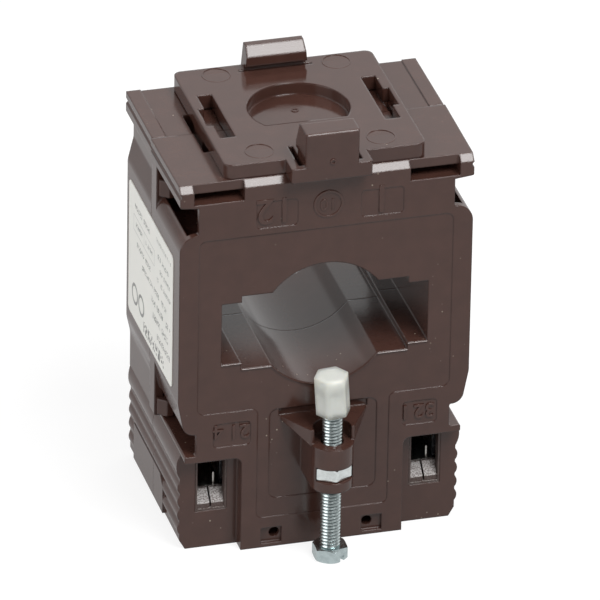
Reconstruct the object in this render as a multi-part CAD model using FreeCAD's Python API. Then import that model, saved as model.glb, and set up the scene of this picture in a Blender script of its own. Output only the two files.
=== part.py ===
"""Window-type current transformer: two clipped housing shells round a strip-wound core, with a
DIN rail clip plate on top, a busbar clamping screw in front and two cage-clamp terminals below.

Millimetres, +Z up. The origin is the centre of the busbar window in the front face, x runs to the
right seen from the front and y runs to the rear. The flat base is the lowest face.

Four sizes drive the rest: the housing's half width, the cable bore, the rail width and the open
height of the terminal cages. The window, the coil, the shells and the base follow from them
through wall thicknesses and clearances, in the order in which they enclose each other.
"""
import FreeCAD, Part
import math
import os

V = FreeCAD.Vector

# ---- driving sizes ----
half_width = 28.7            # flange, torso and rear rim
cable_radius = 13.0
rail_width = 35.0
cage_mouth = 6.0             # open height of a terminal cage above its contact bar

# ---- walls and general clearances ----
wall = 1.8                   # front and rear walls
side_wall = 1.4
inner_wall = 1.4             # partitions
floor_wall = 1.7
tube_wall = 1.3              # busbar tube inside the coil
edge_radius = 0.35           # moulded edges of the front face
hole_clearance = 0.2
run_clearance = 0.04         # threads and bores that turn or slide
over = 1.0                   # cutters run this far past the faces that they open
bite = 0.1                   # joined pieces run this far into each other

# ---- coil: core, insulation and secondary winding ----
coil_clearance = 0.3
wire_diameter = 1.1
insulation_thickness = 0.3
core_build = 2.3
coil_inner_radius = 9.0      # corner radius of the winding's inner face
coil_wraps = 2 * (wire_diameter + insulation_thickness) + core_build
coil_outer_radius = coil_inner_radius + coil_wraps
turn_pitch = 1.3
turn_rise = 0.3

# ---- room for the coil and the busbar window inside it, as (half width, half height) ----
window_to_coil = tube_wall + coil_clearance
chamber = (half_width - side_wall,
           cable_radius + window_to_coil + coil_wraps + coil_clearance)
chamber_radius = coil_outer_radius + coil_clearance
coil_outer = (chamber[0] - coil_clearance, chamber[1] - coil_clearance)
coil_inner = (coil_outer[0] - coil_wraps, coil_outer[1] - coil_wraps)
wide_slot = (coil_inner[0] - window_to_coil, 6.5)
tall_slot = (wide_slot[0] - 3.9, 7.85)

# ---- housing heights, from the coil's room up to the flange and down to the eaves ----
torso_top_z = chamber[1] + 2.0
torso_bottom_z = -chamber[1] - 1.1
flange_height = 4.2
flange_bottom_z = torso_top_z + 6.2
flange_top_z = flange_bottom_z + flange_height
roof_z = torso_bottom_z - 4.8          # top of the terminal blocks
eave_z = roof_z - 1.4                  # lower edge of the front face beside the centre panel

# ---- terminals, from the eaves down to the base ----
terminal_top_z = eave_z - 0.1
cage_roof_gap = 1.9
cage_wall = 0.9
cage_thread_wall = 1.8
cage_seat = 0.2
cage_travel = 4.5
bar_thickness = 1.2
terminal_head_height = 1.6
head_gap = 0.3                         # between the lowered cage and the screw head
head_seat = 0.2                        # between the screw head and the floor
cage_top_z = terminal_top_z - cage_roof_gap
bar_top_z = cage_top_z - cage_wall - cage_mouth
bar_bottom_z = bar_top_z - bar_thickness
cage_bottom_z = bar_bottom_z - cage_seat - cage_thread_wall
terminal_head_top_z = cage_bottom_z - cage_travel - head_gap
terminal_head_z = terminal_head_top_z - terminal_head_height
floor_z = terminal_head_z - head_seat
base_z = floor_z - floor_wall

# ---- housing depths, from the width of the rail that the clip plate takes ----
front_undercut_y = 2.9
rail_play = 0.4
rear_undercut_y = front_undercut_y + rail_width + rail_play
plate_front_y = 1.5
plate_rear_y = rear_undercut_y + 2.1
housing_depth = plate_rear_y + 0.2
shell_seam_y = housing_depth / 2 + 0.7    # parting plane of the two shells
chamber_y = (wall, housing_depth - wall)
chamber_gap_y = 0.6
coil_y = (chamber_y[0] + chamber_gap_y, chamber_y[1] - chamber_gap_y)

# ---- front shell: torso, neck, shoulders and eaves ----
shoulder_radius = 3.4
hip_rise = 7.0                         # slanted lower sides of the torso
hip_slant = 1.3
hip_radius = (4.0, 2.4)                # above and below the slant
neck_half = half_width - 3.7
neck_floor_half = neck_half - 3.2      # inner wall of the side recesses
lip_wall = 1.8                         # free lip outside the recesses
lip_inner = half_width - lip_wall
recess_skin = 1.4                      # front wall left in front of the recesses
recess_top_reach = 1.7                 # recesses run this far past the chamber's rounded ends
recess_bottom_reach = 0.4
rim_width = 3.5                        # full-width rim at the rear of the front shell
roof_tip_half = half_width - 1.4
panel_edge_radius = 1.5

# ---- rear shell ----
rear_step = 0.25                       # its flange is this much lower
band_width = 2.8
band_gap = 0.3
rear_bevel = (1.7, 1.6)
rear_neck_half = half_width - 1.5
rear_neck_top_z = flange_bottom_z - 2.1
rear_neck_bottom_z = torso_top_z + 0.6
rear_neck_radius = 1.0
rear_neck_skin = 1.5
rear_recess_drop = 1.6
rear_shoulder_radius = 3.0
rear_hip_half = half_width - 1.05
rear_hip_z = (torso_bottom_z + 5.5, torso_bottom_z + 1.4)
rear_hip_radius = 6.0

# ---- snap fingers of the rear shell, behind the front shell's rim ----
finger_thickness = 1.35
finger_gap = 0.15
finger_length = 2.2
finger_root = 4.0
finger_land = 0.7
finger_height = 3.4
nose_gap = 0.1
nose_inset = 0.4

# ---- terminal blocks: side faces with grip ribs and a smooth latch pad ----
block_setback = 3.0
block_half = half_width - 1.35         # at the notches between the grip ribs
block_corner_radius = 0.4
block_top_z = eave_z + 0.4
rib_top_z = eave_z + 0.7
rib_pitch = 3.0
rib_rise = 0.45
rib_root = 0.3                         # ribs start this far inside the block
rib_count = 4
first_rib_height = 6.0
first_rib_rise = 0.7
toe_chamfer = (1.1, 1.9)                # width and height
latch_pad_y = (14.0, housing_depth - 4.6)
latch_pad_top_z = base_z + 9.7
pad_slope = 2.2

# ---- terminal bays and the centre panel between them ----
terminal_x = block_half - 6.15
terminal_y = 10.6
panel_half = terminal_x - 5.2
cavity_half = panel_half - inner_wall / 2
bay_inner_x = panel_half + inner_wall / 2
bay_outer_x = block_half - inner_wall
lower_cavity_top = -chamber[1] - inner_wall
upper_cavity_bottom = chamber[1] + inner_wall

# ---- flange details ----
flange_chamfer = 1.28
flange_flare = 0.25                    # the front shell's flange widens to the rear
underside_slope = 0.4
groove_radius = 0.6
groove_inset = 0.25
groove_z = flange_bottom_z + 0.54 * flange_height
pocket_x = (panel_half + 0.2, neck_half + 1.0)
pocket_z = (flange_bottom_z + 0.3, flange_bottom_z + 2.15)
pocket_depth = 11.8

# ---- shallow relief on the front face ----
relief_depth = 0.15
field_half = half_width - 3.8
field_z = (torso_bottom_z + 4.1, torso_top_z - 1.4)
field_corner = 1.5
stem_half = panel_half - 3.0
stem_bottom_z = base_z + 6.6
stem_corner = 1.2
apron_half = stem_half - 2.4
apron_z = (stem_bottom_z + 4.0, field_z[0] - 0.6)
apron_corner = 1.6
apron_depth = 0.3
plaque_corner = 0.8
plaque_height = 5.6                    # upper pair; the lower pair is 0.5 lower in height
low_plaque_height = 5.1
plaques = ((-13.8, -5.7, torso_top_z, plaque_height),
           (6.6, 15.0, torso_top_z, plaque_height),
           (-21.7, -14.3, torso_bottom_z - 3.4, low_plaque_height),
           (15.7, 22.5, torso_bottom_z - 3.5, low_plaque_height))
foot_recess_x = (stem_half - 5.1, stem_half - 1.0)
foot_recess_z = (base_z + 0.8, base_z + 4.2)
foot_recess_depth = 0.8
foot_hole_radius = 1.0
foot_hole_x = stem_half - 3.8
foot_hole_z = base_z + 2.7

# ---- clamp boss, screw, nut and cap ----
screw_y = -6.2
screw_radius = 2.0
screw_head_af = 7.0
screw_head_height = 2.8
screw_head_gap = 0.05                  # head above the base plane
screw_head_chamfer = 0.3
screw_slot_width = 1.0
screw_slot_depth = 1.1
screw_slot_angle = -55.0
collar_radius = 4.2
collar_bottom_z = eave_z - 4.3
collar_rim_z = collar_bottom_z + 9.4
cup_top_z = collar_rim_z + 2.9
cup_radius = 3.7
boss_root = 0.5                        # boss and wings run this far into the front face
wing_half = 8.7
wing_edge = 0.5
wing_bottom_z = collar_rim_z - 0.6
nut_af = 7.0
nut_height = 2.7
nut_z = collar_bottom_z + 2.2
nut_clearance = 0.1
cap_af = 5.9
cap_height = 8.0
cap_grip = 5.5                         # screw end inside the cap
cap_bottom_z = cup_top_z + 3.4
cap_z = (cap_bottom_z, cap_bottom_z + cap_height)
over_wing_height = 1.5
over_wing_depth = 0.8

# ---- rail clip plate ----
plate_half = half_width - 9.05
plate_thickness = 3.05
plate_bottom_z = flange_top_z
plate_top_z = plate_bottom_z + plate_thickness
plate_corner = 1.6
tab_half = 7.9
tab_y = -3.0
tab_corner = 0.5
nose_block_half = 5.2
nose_block_top = plate_top_z + 7.05
nose_corner = 0.3
rail_edge_gap = 1.1                    # undercut that takes the edge of the rail
front_nose_reach = 1.4
front_nose_slope = 1.2
front_top_y = 1.9
rear_nose_reach = 1.3
rear_hook_half = (6.15, 5.75)          # at the plate and at the top
rear_hook_top = plate_top_z + 4.9
hook_lead = 1.85
hook_rear_radius = 0.3
hook_nose_radius = 0.2
latch_y = shell_seam_y + 0.1           # middle of the feet, windows and dish
dish_radius = 9.85
dish_chord_y = latch_y - 5.7
dish_floor = 0.6
side_slot_x = (plate_half - 4.95, plate_half - 2.05)
side_slot_y = (latch_y - 8.6, latch_y + 8.9)
side_notch_x = plate_half - 0.85
side_notch_y = (latch_y - 3.5, latch_y + 3.6)
flex_slot_width = 1.0
flex_slot_y = (-1.6, 6.3)
rear_flex_half = 7.2
rear_flex_y = (rear_undercut_y - 0.75, rear_undercut_y - 0.15)
rear_flex_depth = 1.6

# ---- the plate's snap feet and their windows in the flange ----
window_x = (plate_half - 1.75, plate_half + 1.05)
window_y = (latch_y - 7.8, latch_y + 7.9)
window_floor_z = flange_bottom_z + 0.3
undercut_reach = 1.6
undercut_height = 2.1
undercut_y = (latch_y - 4.2, latch_y + 4.2)
foot_y = (latch_y - 3.2, latch_y + 3.2)
foot_fit = 0.15
foot_thickness = 0.4
foot_root = 0.2
foot_nose_reach = 0.9

# ---- rating label on the left side ----
label_y = (4.4, housing_depth - 3.4)
label_z = (-12.9, 15.5)
label_corner = 1.0
label_thickness = 0.12

# ---- winding leads ----
lead_radius = 0.8
lead_x = cavity_half - 3.3
lead_y = shell_seam_y
lead_bend = 3.5
lead_run_z = eave_z - 2.7
lead_gap = 0.02

# ---- wire guides, contact bars, cages and terminal screws ----
entry_half = 2.7                       # clear width of the wire entry, halved
entry_z = (bar_top_z - 3.2, eave_z - 0.9)
guide_wall = 0.35
guide_depth = 3.3
guide_fit = 0.05
ramp_setback = 0.3
ramp_rise = 2.2
ramp_slot = 0.35
ramp_web = 1.5
bar_half = 2.5
bar_y = (terminal_y - 4.1, lead_y + 2.0)
cage_inner_half = 2.75
cage_half = cage_inner_half + cage_wall
cage_depth = 6.4
cage_y = (terminal_y - cage_depth / 2, terminal_y + cage_depth / 2)
cage_top_radius = 0.8
cage_bottom_radius = 0.4
cage_side_gap = 0.15
post_gap = 1.0
post_thickness = 1.5
terminal_screw_radius = 1.75
terminal_head_radius = 2.8
terminal_slot_width = 0.8
terminal_slot_depth = 0.8
screw_end_gap = 0.1
driver_hole_radius = 2.3


# ---- helpers ----
def place(plane, u, v, level):
    """Point of a named plane: 'xz' at y = level, 'xy' at z = level, 'yz' at x = level."""
    return {"xz": V(u, level, v), "xy": V(u, v, level), "yz": V(level, u, v)}[plane]


def prism(plane, corners, start, end):
    """Solid from a closed outline of corners (u, v, radius), each rounded by a tangent arc."""
    count = len(corners)
    spans = []
    for i, (u, v, radius) in enumerate(corners):
        here = place(plane, u, v, start)
        if radius == 0:
            spans.append((here, None, here))
            continue
        before = corners[i - 1]
        after = corners[(i + 1) % count]
        back = (place(plane, before[0], before[1], start) - here).normalize()
        ahead = (place(plane, after[0], after[1], start) - here).normalize()
        half_angle = back.getAngle(ahead) / 2
        reach = radius / math.tan(half_angle)
        bisector = (back + ahead).normalize()
        middle = here + bisector * (radius / math.sin(half_angle) - radius)
        spans.append((here + back * reach, middle, here + ahead * reach))
    edges = []
    for i, (first, middle, last) in enumerate(spans):
        if middle is not None:
            edges.append(Part.Arc(first, middle, last).toShape())
        following = spans[(i + 1) % count][0]
        if (following - last).Length > 1e-6:
            edges.append(Part.LineSegment(last, following).toShape())
    face = Part.Face(Part.Wire(edges))
    return face.extrude(place(plane, 0, 0, end) - place(plane, 0, 0, start))


def mirrored(half_corners):
    """Whole outline from its right half, listed from top to bottom."""
    return half_corners + [(-u, v, radius) for u, v, radius in reversed(half_corners)]


def mirror_x(shape):
    return shape.mirror(V(0, 0, 0), V(1, 0, 0))


def both_sides(shape):
    """A shape and its mirror image, side by side."""
    return [shape, mirror_x(shape)]


def block(x_span, y_span, z_span):
    return Part.makeBox(x_span[1] - x_span[0], y_span[1] - y_span[0], z_span[1] - z_span[0],
                        V(x_span[0], y_span[0], z_span[0]))


def rounded_plate(half_x, half_z, radius, y_span):
    """Bar along y with a rounded rectangular section centred on the window."""
    corners = mirrored([(half_x, half_z, radius), (half_x, -half_z, radius)])
    return prism("xz", corners, *y_span)


def rod_z(x, y, z_span, radius):
    return Part.makeCylinder(radius, z_span[1] - z_span[0], V(x, y, z_span[0]))


def rod_y(x, z, y_span, radius):
    return Part.makeCylinder(radius, y_span[1] - y_span[0], V(x, y_span[0], z), V(0, 1, 0))


def hexagon(af, centre_y, z_span, first_angle):
    """Hexagonal prism on the clamp axis; first_angle is the direction of one corner."""
    radius = af / math.sqrt(3)
    corners = []
    for k in range(6):
        angle = math.radians(first_angle + 60 * k)
        corners.append((radius * math.cos(angle), centre_y + radius * math.sin(angle), 0))
    return prism("xy", corners, *z_span)


def window_prism(y_span, grow=0.0):
    """The stepped busbar window with its cable bore, grown outwards by a wall thickness."""
    wide = block((-wide_slot[0] - grow, wide_slot[0] + grow), y_span,
                 (-wide_slot[1] - grow, wide_slot[1] + grow))
    tall = block((-tall_slot[0] - grow, tall_slot[0] + grow), y_span,
                 (-tall_slot[1] - grow, tall_slot[1] + grow))
    return wide.fuse([tall, rod_y(0, 0, y_span, cable_radius + grow)])


# ---- housing outlines ----
def front_outline():
    """Right half of the front shell's outline, from the flange top down to the base."""
    return [(half_width, flange_top_z, 0), (half_width, flange_bottom_z, edge_radius),
            (neck_half, flange_bottom_z - underside_slope, 0), (neck_half, torso_top_z, edge_radius),
            (half_width, torso_top_z, shoulder_radius),
            (half_width, torso_bottom_z + hip_rise, hip_radius[0]),
            (half_width - hip_slant, torso_bottom_z, hip_radius[1]),
            (neck_half, torso_bottom_z, edge_radius), (neck_half, roof_z, edge_radius),
            (roof_tip_half, roof_z, edge_radius), (roof_tip_half, eave_z, edge_radius),
            (panel_half, eave_z, panel_edge_radius), (panel_half, base_z, 0)]


def rim_outline():
    """Right half of the full-width rim at the rear of the front shell."""
    return [(half_width, flange_top_z, 0), (half_width, roof_z, edge_radius),
            (panel_half, eave_z, 0), (panel_half, base_z, 0)]


def rear_outline():
    """Right half of the rear shell's outline, with its shallow neck and hip."""
    top = flange_top_z - rear_step
    return [(half_width, top, 0), (half_width, flange_bottom_z, edge_radius),
            (rear_neck_half, rear_neck_top_z, rear_neck_radius),
            (rear_neck_half, rear_neck_bottom_z, rear_neck_radius),
            (half_width, torso_top_z - shoulder_radius, rear_shoulder_radius),
            (half_width, rear_hip_z[0], rear_hip_radius),
            (rear_hip_half, rear_hip_z[1], rear_hip_radius),
            (rear_hip_half, eave_z, 0), (block_half, eave_z, 0), (panel_half, eave_z, 0),
            (panel_half, base_z, 0)]


def terminal_block(y_span, front_radius):
    """Right-hand terminal block with its horizontal grip ribs and the smooth latch pad."""
    body = prism("xz", [(0, block_top_z, 0), (block_half, block_top_z, 0),
                        (block_half, base_z + toe_chamfer[1], 0),
                        (block_half - toe_chamfer[0], base_z, 0), (0, base_z, 0)], *y_span)
    top = rib_top_z - first_rib_height
    pieces = [rib(rib_top_z, top, first_rib_rise, y_span)]
    for k in range(rib_count):
        pieces.append(rib(top - k * rib_pitch, top - (k + 1) * rib_pitch, rib_rise, y_span))
    pad_y = (max(latch_pad_y[0], y_span[0]), min(latch_pad_y[1], y_span[1]))
    front_drop = pad_slope if pad_y[0] == latch_pad_y[0] else 0
    pieces.append(prism("yz", [(pad_y[0], latch_pad_top_z - front_drop, 0),
                               (pad_y[0] + front_drop, latch_pad_top_z, 0),
                               (pad_y[1], latch_pad_top_z, 0),
                               (pad_y[1], base_z + toe_chamfer[1], 0),
                               (pad_y[0], base_z + toe_chamfer[1], 0)],
                        block_half - rib_root, block_half + rib_rise))
    plan = prism("xy", [(0, y_span[0], 0), (half_width, y_span[0], front_radius),
                        (half_width, y_span[1], 0), (0, y_span[1], 0)], base_z - over, roof_z)
    return body.fuse(pieces).common(plan)


def rib(z_top, z_bottom, rise, y_span):
    """One bulging grip rib along the block's side."""
    top = V(block_half - rib_root, y_span[0], z_top)
    bottom = V(block_half - rib_root, y_span[0], z_bottom)
    crest = V(block_half + rise, y_span[0], (z_top + z_bottom) / 2)
    edges = [Part.Arc(top, crest, bottom).toShape(), Part.LineSegment(bottom, top).toShape()]
    return Part.Face(Part.Wire(edges)).extrude(V(0, y_span[1] - y_span[0], 0))


# ---- housing cavities ----
def coil_chamber(y_span):
    """Ring-shaped room for the coil between the outer walls and the window tube."""
    room = rounded_plate(chamber[0], chamber[1], chamber_radius, y_span)
    return room.cut(window_prism(y_span, tube_wall))


def lower_rooms(y_span, front_wall_y):
    """Rooms behind the centre panel and in the two terminal blocks."""
    centre = block((-cavity_half, cavity_half), y_span, (floor_z, lower_cavity_top))
    side = block((bay_inner_x, bay_outer_x), (max(y_span[0], front_wall_y), y_span[1]),
                 (floor_z, terminal_top_z))
    return [centre] + both_sides(side)


def neck_recesses(y_span, outer_x, top_z):
    """Deep side recesses between the coil's room and the flange, and above the terminals."""
    upper = block((neck_floor_half, outer_x), y_span, (chamber[1] - recess_top_reach, top_z))
    lower = block((neck_floor_half, outer_x), y_span, (roof_z, recess_bottom_reach - chamber[1]))
    return both_sides(upper) + both_sides(lower)


def lead_passages():
    """Round notches in the seam that let the two winding leads through the partitions."""
    radius = lead_radius + hole_clearance
    drop = rod_z(lead_x, lead_y, (lower_cavity_top - over, over - chamber[1]), radius)
    cross = Part.makeCylinder(radius, inner_wall + 2 * over,
                              V(cavity_half - over, lead_y, lead_run_z), V(1, 0, 0))
    return both_sides(drop) + both_sides(cross)


# ---- housing shells ----
def flange_windows():
    """Windows and undercuts for the plate's feet, and the grooves along the flange's sides."""
    window = block(window_x, window_y, (window_floor_z, flange_top_z + over))
    undercut = block((window_x[0], window_x[1] + undercut_reach), undercut_y,
                     (window_floor_z, window_floor_z + undercut_height))
    groove = rod_y(half_width + groove_inset, groove_z, (-over, housing_depth + over),
                   groove_radius)
    return both_sides(window) + both_sides(undercut) + both_sides(groove)


def flange_front():
    """Chamfer along the flange's front edge, and the two pockets below it."""
    chamfer = prism("yz", [(-over, flange_top_z - flange_chamfer - over, 0),
                           (-over, flange_top_z + over, 0),
                           (flange_chamfer + over, flange_top_z + over, 0)],
                    -half_width - over, half_width + over)
    pocket = block(pocket_x, (-over, pocket_depth), pocket_z)
    setback = block(pocket_x, (-over, flange_chamfer), (pocket_z[0], flange_top_z + over))
    return [chamfer] + both_sides(pocket) + both_sides(setback)


def relief_cuts():
    """Shallow fields in the front face: a T-shaped panel, an apron and four plain plaques."""
    y_span = (-over, relief_depth)
    outer = [(field_half, field_z[1], field_corner), (field_half, field_z[0], field_corner),
             (stem_half, field_z[0], stem_corner), (stem_half, stem_bottom_z, stem_corner)]
    cuts = [prism("xz", mirrored(outer), *y_span)]
    apron = [(apron_half, apron_z[1], apron_corner), (apron_half, apron_z[0], apron_corner)]
    cuts.append(prism("xz", mirrored(apron), -over, apron_depth))
    for left, right, low, height in plaques:
        corners = [(right, low + height, plaque_corner), (right, low, plaque_corner),
                   (left, low, plaque_corner), (left, low + height, plaque_corner)]
        cuts.append(prism("xz", corners, *y_span))
    cuts += both_sides(block(foot_recess_x, (-over, foot_recess_depth), foot_recess_z))
    cuts += both_sides(rod_y(foot_hole_x, foot_hole_z, (-over, wall + over), foot_hole_radius))
    return cuts


def clamp_boss():
    """Collar with its neck, the cup-shaped wings above it, the nut trap and the screw hole."""
    collar = rod_z(0, screw_y, (collar_bottom_z, collar_rim_z), collar_radius)
    neck = block((-collar_radius, collar_radius), (screw_y, boss_root),
                 (collar_bottom_z, collar_rim_z))
    wings = prism("xy", mirrored([(wing_half, boss_root, 0),
                                  (collar_radius, screw_y - wing_edge, 0)]),
                  wing_bottom_z, cup_top_z)
    taper = prism("xz", mirrored([(wing_half, cup_top_z, 0), (wing_half, cup_top_z - wing_edge, 0),
                                  (collar_radius, wing_bottom_z, 0)]), screw_y - over, over)
    cup = rod_z(0, screw_y, (collar_rim_z, cup_top_z + over), cup_radius)
    boss = collar.fuse([neck, wings.common(taper).cut(cup)])
    trap_half = nut_af / 2 + nut_clearance
    trap = block((-trap_half, trap_half),
                 (screw_y - collar_radius - over, screw_y + nut_af / math.sqrt(3) + nut_clearance),
                 (nut_z - nut_clearance, nut_z + nut_height + nut_clearance))
    hole = rod_z(0, screw_y, (collar_bottom_z - over, collar_rim_z + over),
                 screw_radius + hole_clearance)
    return boss.cut([trap, hole])


def terminal_openings():
    """Front mouth of the right wire entry and the driver hole below the terminal screw."""
    outer = entry_half + guide_wall + guide_fit
    mouth = block((terminal_x - outer, terminal_x + outer), (0, block_setback + wall + over),
                  (entry_z[0] - guide_wall - guide_fit, entry_z[1] + guide_wall + guide_fit))
    driver = rod_z(terminal_x, terminal_y, (base_z - over, floor_z + over), driver_hole_radius)
    return both_sides(mouth) + both_sides(driver)


def terminal_supports():
    """Guide ribs beside the right cage, and the post behind it that carries the bar."""
    gap = cage_half + cage_side_gap
    low = floor_z - bite
    rib_y = (block_setback + wall - bite, cage_y[1] + post_gap)
    rib_z = (low, terminal_top_z + bite)
    return [block((bay_inner_x - bite, terminal_x - gap), rib_y, rib_z),
            block((terminal_x + gap, bay_outer_x + bite), rib_y, rib_z),
            block((bay_inner_x - bite, bay_outer_x + bite),
                  (rib_y[1], rib_y[1] + post_thickness), (low, bar_bottom_z))]


def front_shell():
    body_y = (0, shell_seam_y)
    rim_y = (shell_seam_y - rim_width, shell_seam_y)
    front = prism("xz", mirrored(front_outline()), *body_y)
    rim = prism("xz", mirrored(rim_outline()), *rim_y)
    blocks = both_sides(terminal_block((block_setback, shell_seam_y), block_corner_radius))
    flare = prism("xy", [(half_width - bite, 0, 0), (half_width, 0, 0),
                         (half_width + flange_flare, shell_seam_y, 0),
                         (half_width - bite, shell_seam_y, 0)],
                  flange_bottom_z + edge_radius, flange_top_z)
    shell = front.fuse([rim] + blocks + both_sides(flare))
    room_y = (wall, shell_seam_y + over)
    hollow = block((-cavity_half, cavity_half), room_y,
                   (upper_cavity_bottom, flange_top_z - wall))
    cuts = [coil_chamber(room_y), hollow, window_prism((-over, shell_seam_y + over))]
    cuts += lower_rooms(room_y, block_setback + wall)
    cuts += neck_recesses((recess_skin, shell_seam_y + over), lip_inner,
                          flange_bottom_z - underside_slope)
    cuts += flange_front() + flange_windows() + relief_cuts()
    cuts += lead_passages() + terminal_openings()
    cuts.append(block((-wing_half, wing_half), (-over, over_wing_depth),
                      (cup_top_z, cup_top_z + over_wing_height)))
    shell = shell.cut(cuts)
    supports = terminal_supports()
    supports += [mirror_x(shape) for shape in supports]
    return shell.fuse(supports + [clamp_boss()]).removeSplitter()


def latch_fingers():
    """Right-hand snap fingers of the rear shell that hook over the front shell's rim."""
    rim_front = shell_seam_y - rim_width
    shank_x = (lip_inner - finger_gap - finger_thickness, lip_inner - finger_gap)
    nose_x = half_width - nose_inset
    nose_y = (rim_front - finger_length, rim_front - nose_gap)
    land_y = nose_y[1] - finger_land
    fingers = []
    for low in (torso_top_z + hole_clearance, roof_z + 2 * nose_inset - hole_clearance):
        z_span = (low, low + finger_height)
        shank = block(shank_x, (nose_y[0], shell_seam_y + finger_root), z_span)
        nose = block((shank_x[0], nose_x), nose_y, z_span)
        lead = prism("xy", [(half_width, land_y, 0), (half_width, nose_y[0] - over, 0),
                            (shank_x[1], nose_y[0] - over, 0), (shank_x[1], nose_y[0], 0),
                            (nose_x, land_y, 0)], low - over, low + finger_height + over)
        root = block((shank_x[0], rear_neck_half - hole_clearance),
                     (shell_seam_y + over, shell_seam_y + finger_root), z_span)
        fingers.append(shank.fuse([nose.cut(lead), root]))
    return fingers


def rear_shell():
    body_y = (shell_seam_y, housing_depth)
    shell = prism("xz", mirrored(rear_outline()), *body_y)
    low_blocks = both_sides(terminal_block(body_y, 0))
    band = block((half_width - band_width, half_width),
                 (shell_seam_y + band_gap, housing_depth), (flange_top_z - over, flange_top_z))
    shell = shell.fuse(low_blocks + both_sides(band))
    bevelled = prism("xy", mirrored([(half_width, 0, 0),
                                     (half_width, housing_depth - rear_bevel[1], 0),
                                     (half_width - rear_bevel[0], housing_depth, 0)]),
                     base_z - over, flange_bottom_z)
    above = block((-half_width, half_width), body_y, (flange_bottom_z, flange_top_z + over))
    shell = shell.common(bevelled.fuse(above))
    room_y = (shell_seam_y - over, housing_depth - wall)
    hollow = block((-cavity_half, cavity_half), room_y,
                   (upper_cavity_bottom, flange_top_z - rear_step - wall))
    cuts = [coil_chamber(room_y), hollow]
    cuts.append(window_prism((shell_seam_y - over, housing_depth + over)))
    cuts += lower_rooms(room_y, 0)
    cuts += neck_recesses(room_y, rear_neck_half - rear_neck_skin,
                          flange_bottom_z - rear_recess_drop)
    cuts += flange_windows() + lead_passages()
    shell = shell.cut(cuts)
    fingers = latch_fingers()
    fingers += [mirror_x(shape) for shape in fingers]
    return shell.fuse(fingers).removeSplitter()


# ---- rail clip plate ----
def rail_plate():
    """Plate with a fixed front nose, a springing rear hook, side slots and a shallow dish."""
    z_span = (plate_bottom_z, plate_top_z)
    seat_z = plate_top_z + rail_edge_gap
    outline = [(plate_half, plate_rear_y, plate_corner), (plate_half, plate_front_y, plate_corner),
               (tab_half, plate_front_y, 0), (tab_half, tab_y, tab_corner)]
    plate = prism("xy", mirrored(outline), *z_span)
    nose_y = front_undercut_y + front_nose_reach
    nose_profile = [(tab_y, plate_top_z - over, 0), (tab_y, nose_block_top, tab_corner),
                    (front_top_y, nose_block_top, tab_corner),
                    (nose_y, seat_z + front_nose_slope, 0), (nose_y, seat_z, 0),
                    (front_undercut_y, seat_z, 0), (front_undercut_y, plate_top_z - over, 0)]
    nose_block = prism("yz", nose_profile, -nose_block_half, nose_block_half)
    trim = prism("xy", mirrored([(nose_block_half, plate_rear_y, 0),
                                 (nose_block_half, tab_y + nose_corner, 0),
                                 (nose_block_half - nose_corner, tab_y, 0)]),
                 plate_bottom_z, nose_block_top)
    hook_front = rear_undercut_y - rear_nose_reach
    hook_profile = [(plate_rear_y, plate_top_z - over, 0),
                    (plate_rear_y, rear_hook_top, hook_rear_radius),
                    (hook_front + hook_lead, rear_hook_top, 0),
                    (hook_front, rear_hook_top - hook_lead, hook_nose_radius),
                    (hook_front, seat_z, 0), (rear_undercut_y, seat_z, 0),
                    (rear_undercut_y, plate_top_z - over, 0)]
    hook = prism("yz", hook_profile, -rear_hook_half[0], rear_hook_half[0])
    hook_front_view = [(rear_hook_half[1], rear_hook_top, 0), (rear_hook_half[0], plate_top_z, 0),
                       (rear_hook_half[0], plate_top_z - over, 0)]
    hook = hook.common(prism("xz", mirrored(hook_front_view), hook_front - over,
                             plate_rear_y + over))
    plate = plate.fuse([nose_block.common(trim), hook])
    dish = rod_z(0, latch_y, (plate_bottom_z + dish_floor, plate_top_z + over), dish_radius)
    dish = dish.cut(block((-dish_radius, dish_radius), (latch_y - dish_radius, dish_chord_y),
                          (plate_bottom_z, plate_top_z + over)))
    through = (plate_bottom_z - over, plate_top_z + over)
    cuts = [dish]
    cuts += both_sides(block(side_slot_x, side_slot_y, through))
    cuts += both_sides(block((side_slot_x[0], side_notch_x), side_notch_y, through))
    cuts += both_sides(block((nose_block_half, nose_block_half + flex_slot_width), flex_slot_y,
                             through))
    cuts.append(block((-rear_flex_half, rear_flex_half), rear_flex_y,
                      (plate_top_z - rear_flex_depth, plate_top_z)))
    plate = plate.cut(cuts)
    return plate.fuse(plate_feet()).removeSplitter()


def plate_feet():
    """Snap feet below the plate that hook into the flange's side windows."""
    inner = side_notch_x - foot_thickness
    root = plate_half - bite
    low = window_floor_z + foot_fit
    foot = block((inner, plate_half), foot_y, (low, plate_bottom_z + foot_root))
    nose_top = window_floor_z + undercut_height - foot_fit
    nose_tip = window_x[1] - foot_fit + foot_nose_reach
    nose = prism("xz", [(root, nose_top, 0), (nose_tip, nose_top, 0), (root, low, 0)], *foot_y)
    return both_sides(foot.fuse(nose))


# ---- clamp hardware ----
def clamp_screw():
    """Hexagon screw with a driver slot; its head is chamfered at 45 degrees below."""
    head_z = (base_z + screw_head_gap, base_z + screw_head_gap + screw_head_height)
    head = hexagon(screw_head_af, screw_y, head_z, 90)
    small = screw_head_af / 2 - screw_head_chamfer
    crown = Part.makeCone(small, small + screw_head_height + over, screw_head_height + over,
                          V(0, screw_y, head_z[0]))
    shank = rod_z(0, screw_y, (head_z[1] - bite, cap_z[0] + cap_grip), screw_radius)
    slot = block((-screw_head_af, screw_head_af), (-screw_slot_width / 2, screw_slot_width / 2),
                 (head_z[0] - over, head_z[0] + screw_slot_depth))
    slot.rotate(V(0, 0, 0), V(0, 0, 1), screw_slot_angle)
    slot.translate(V(0, screw_y, 0))
    return head.common(crown).cut(slot).fuse(shank).removeSplitter()


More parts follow.
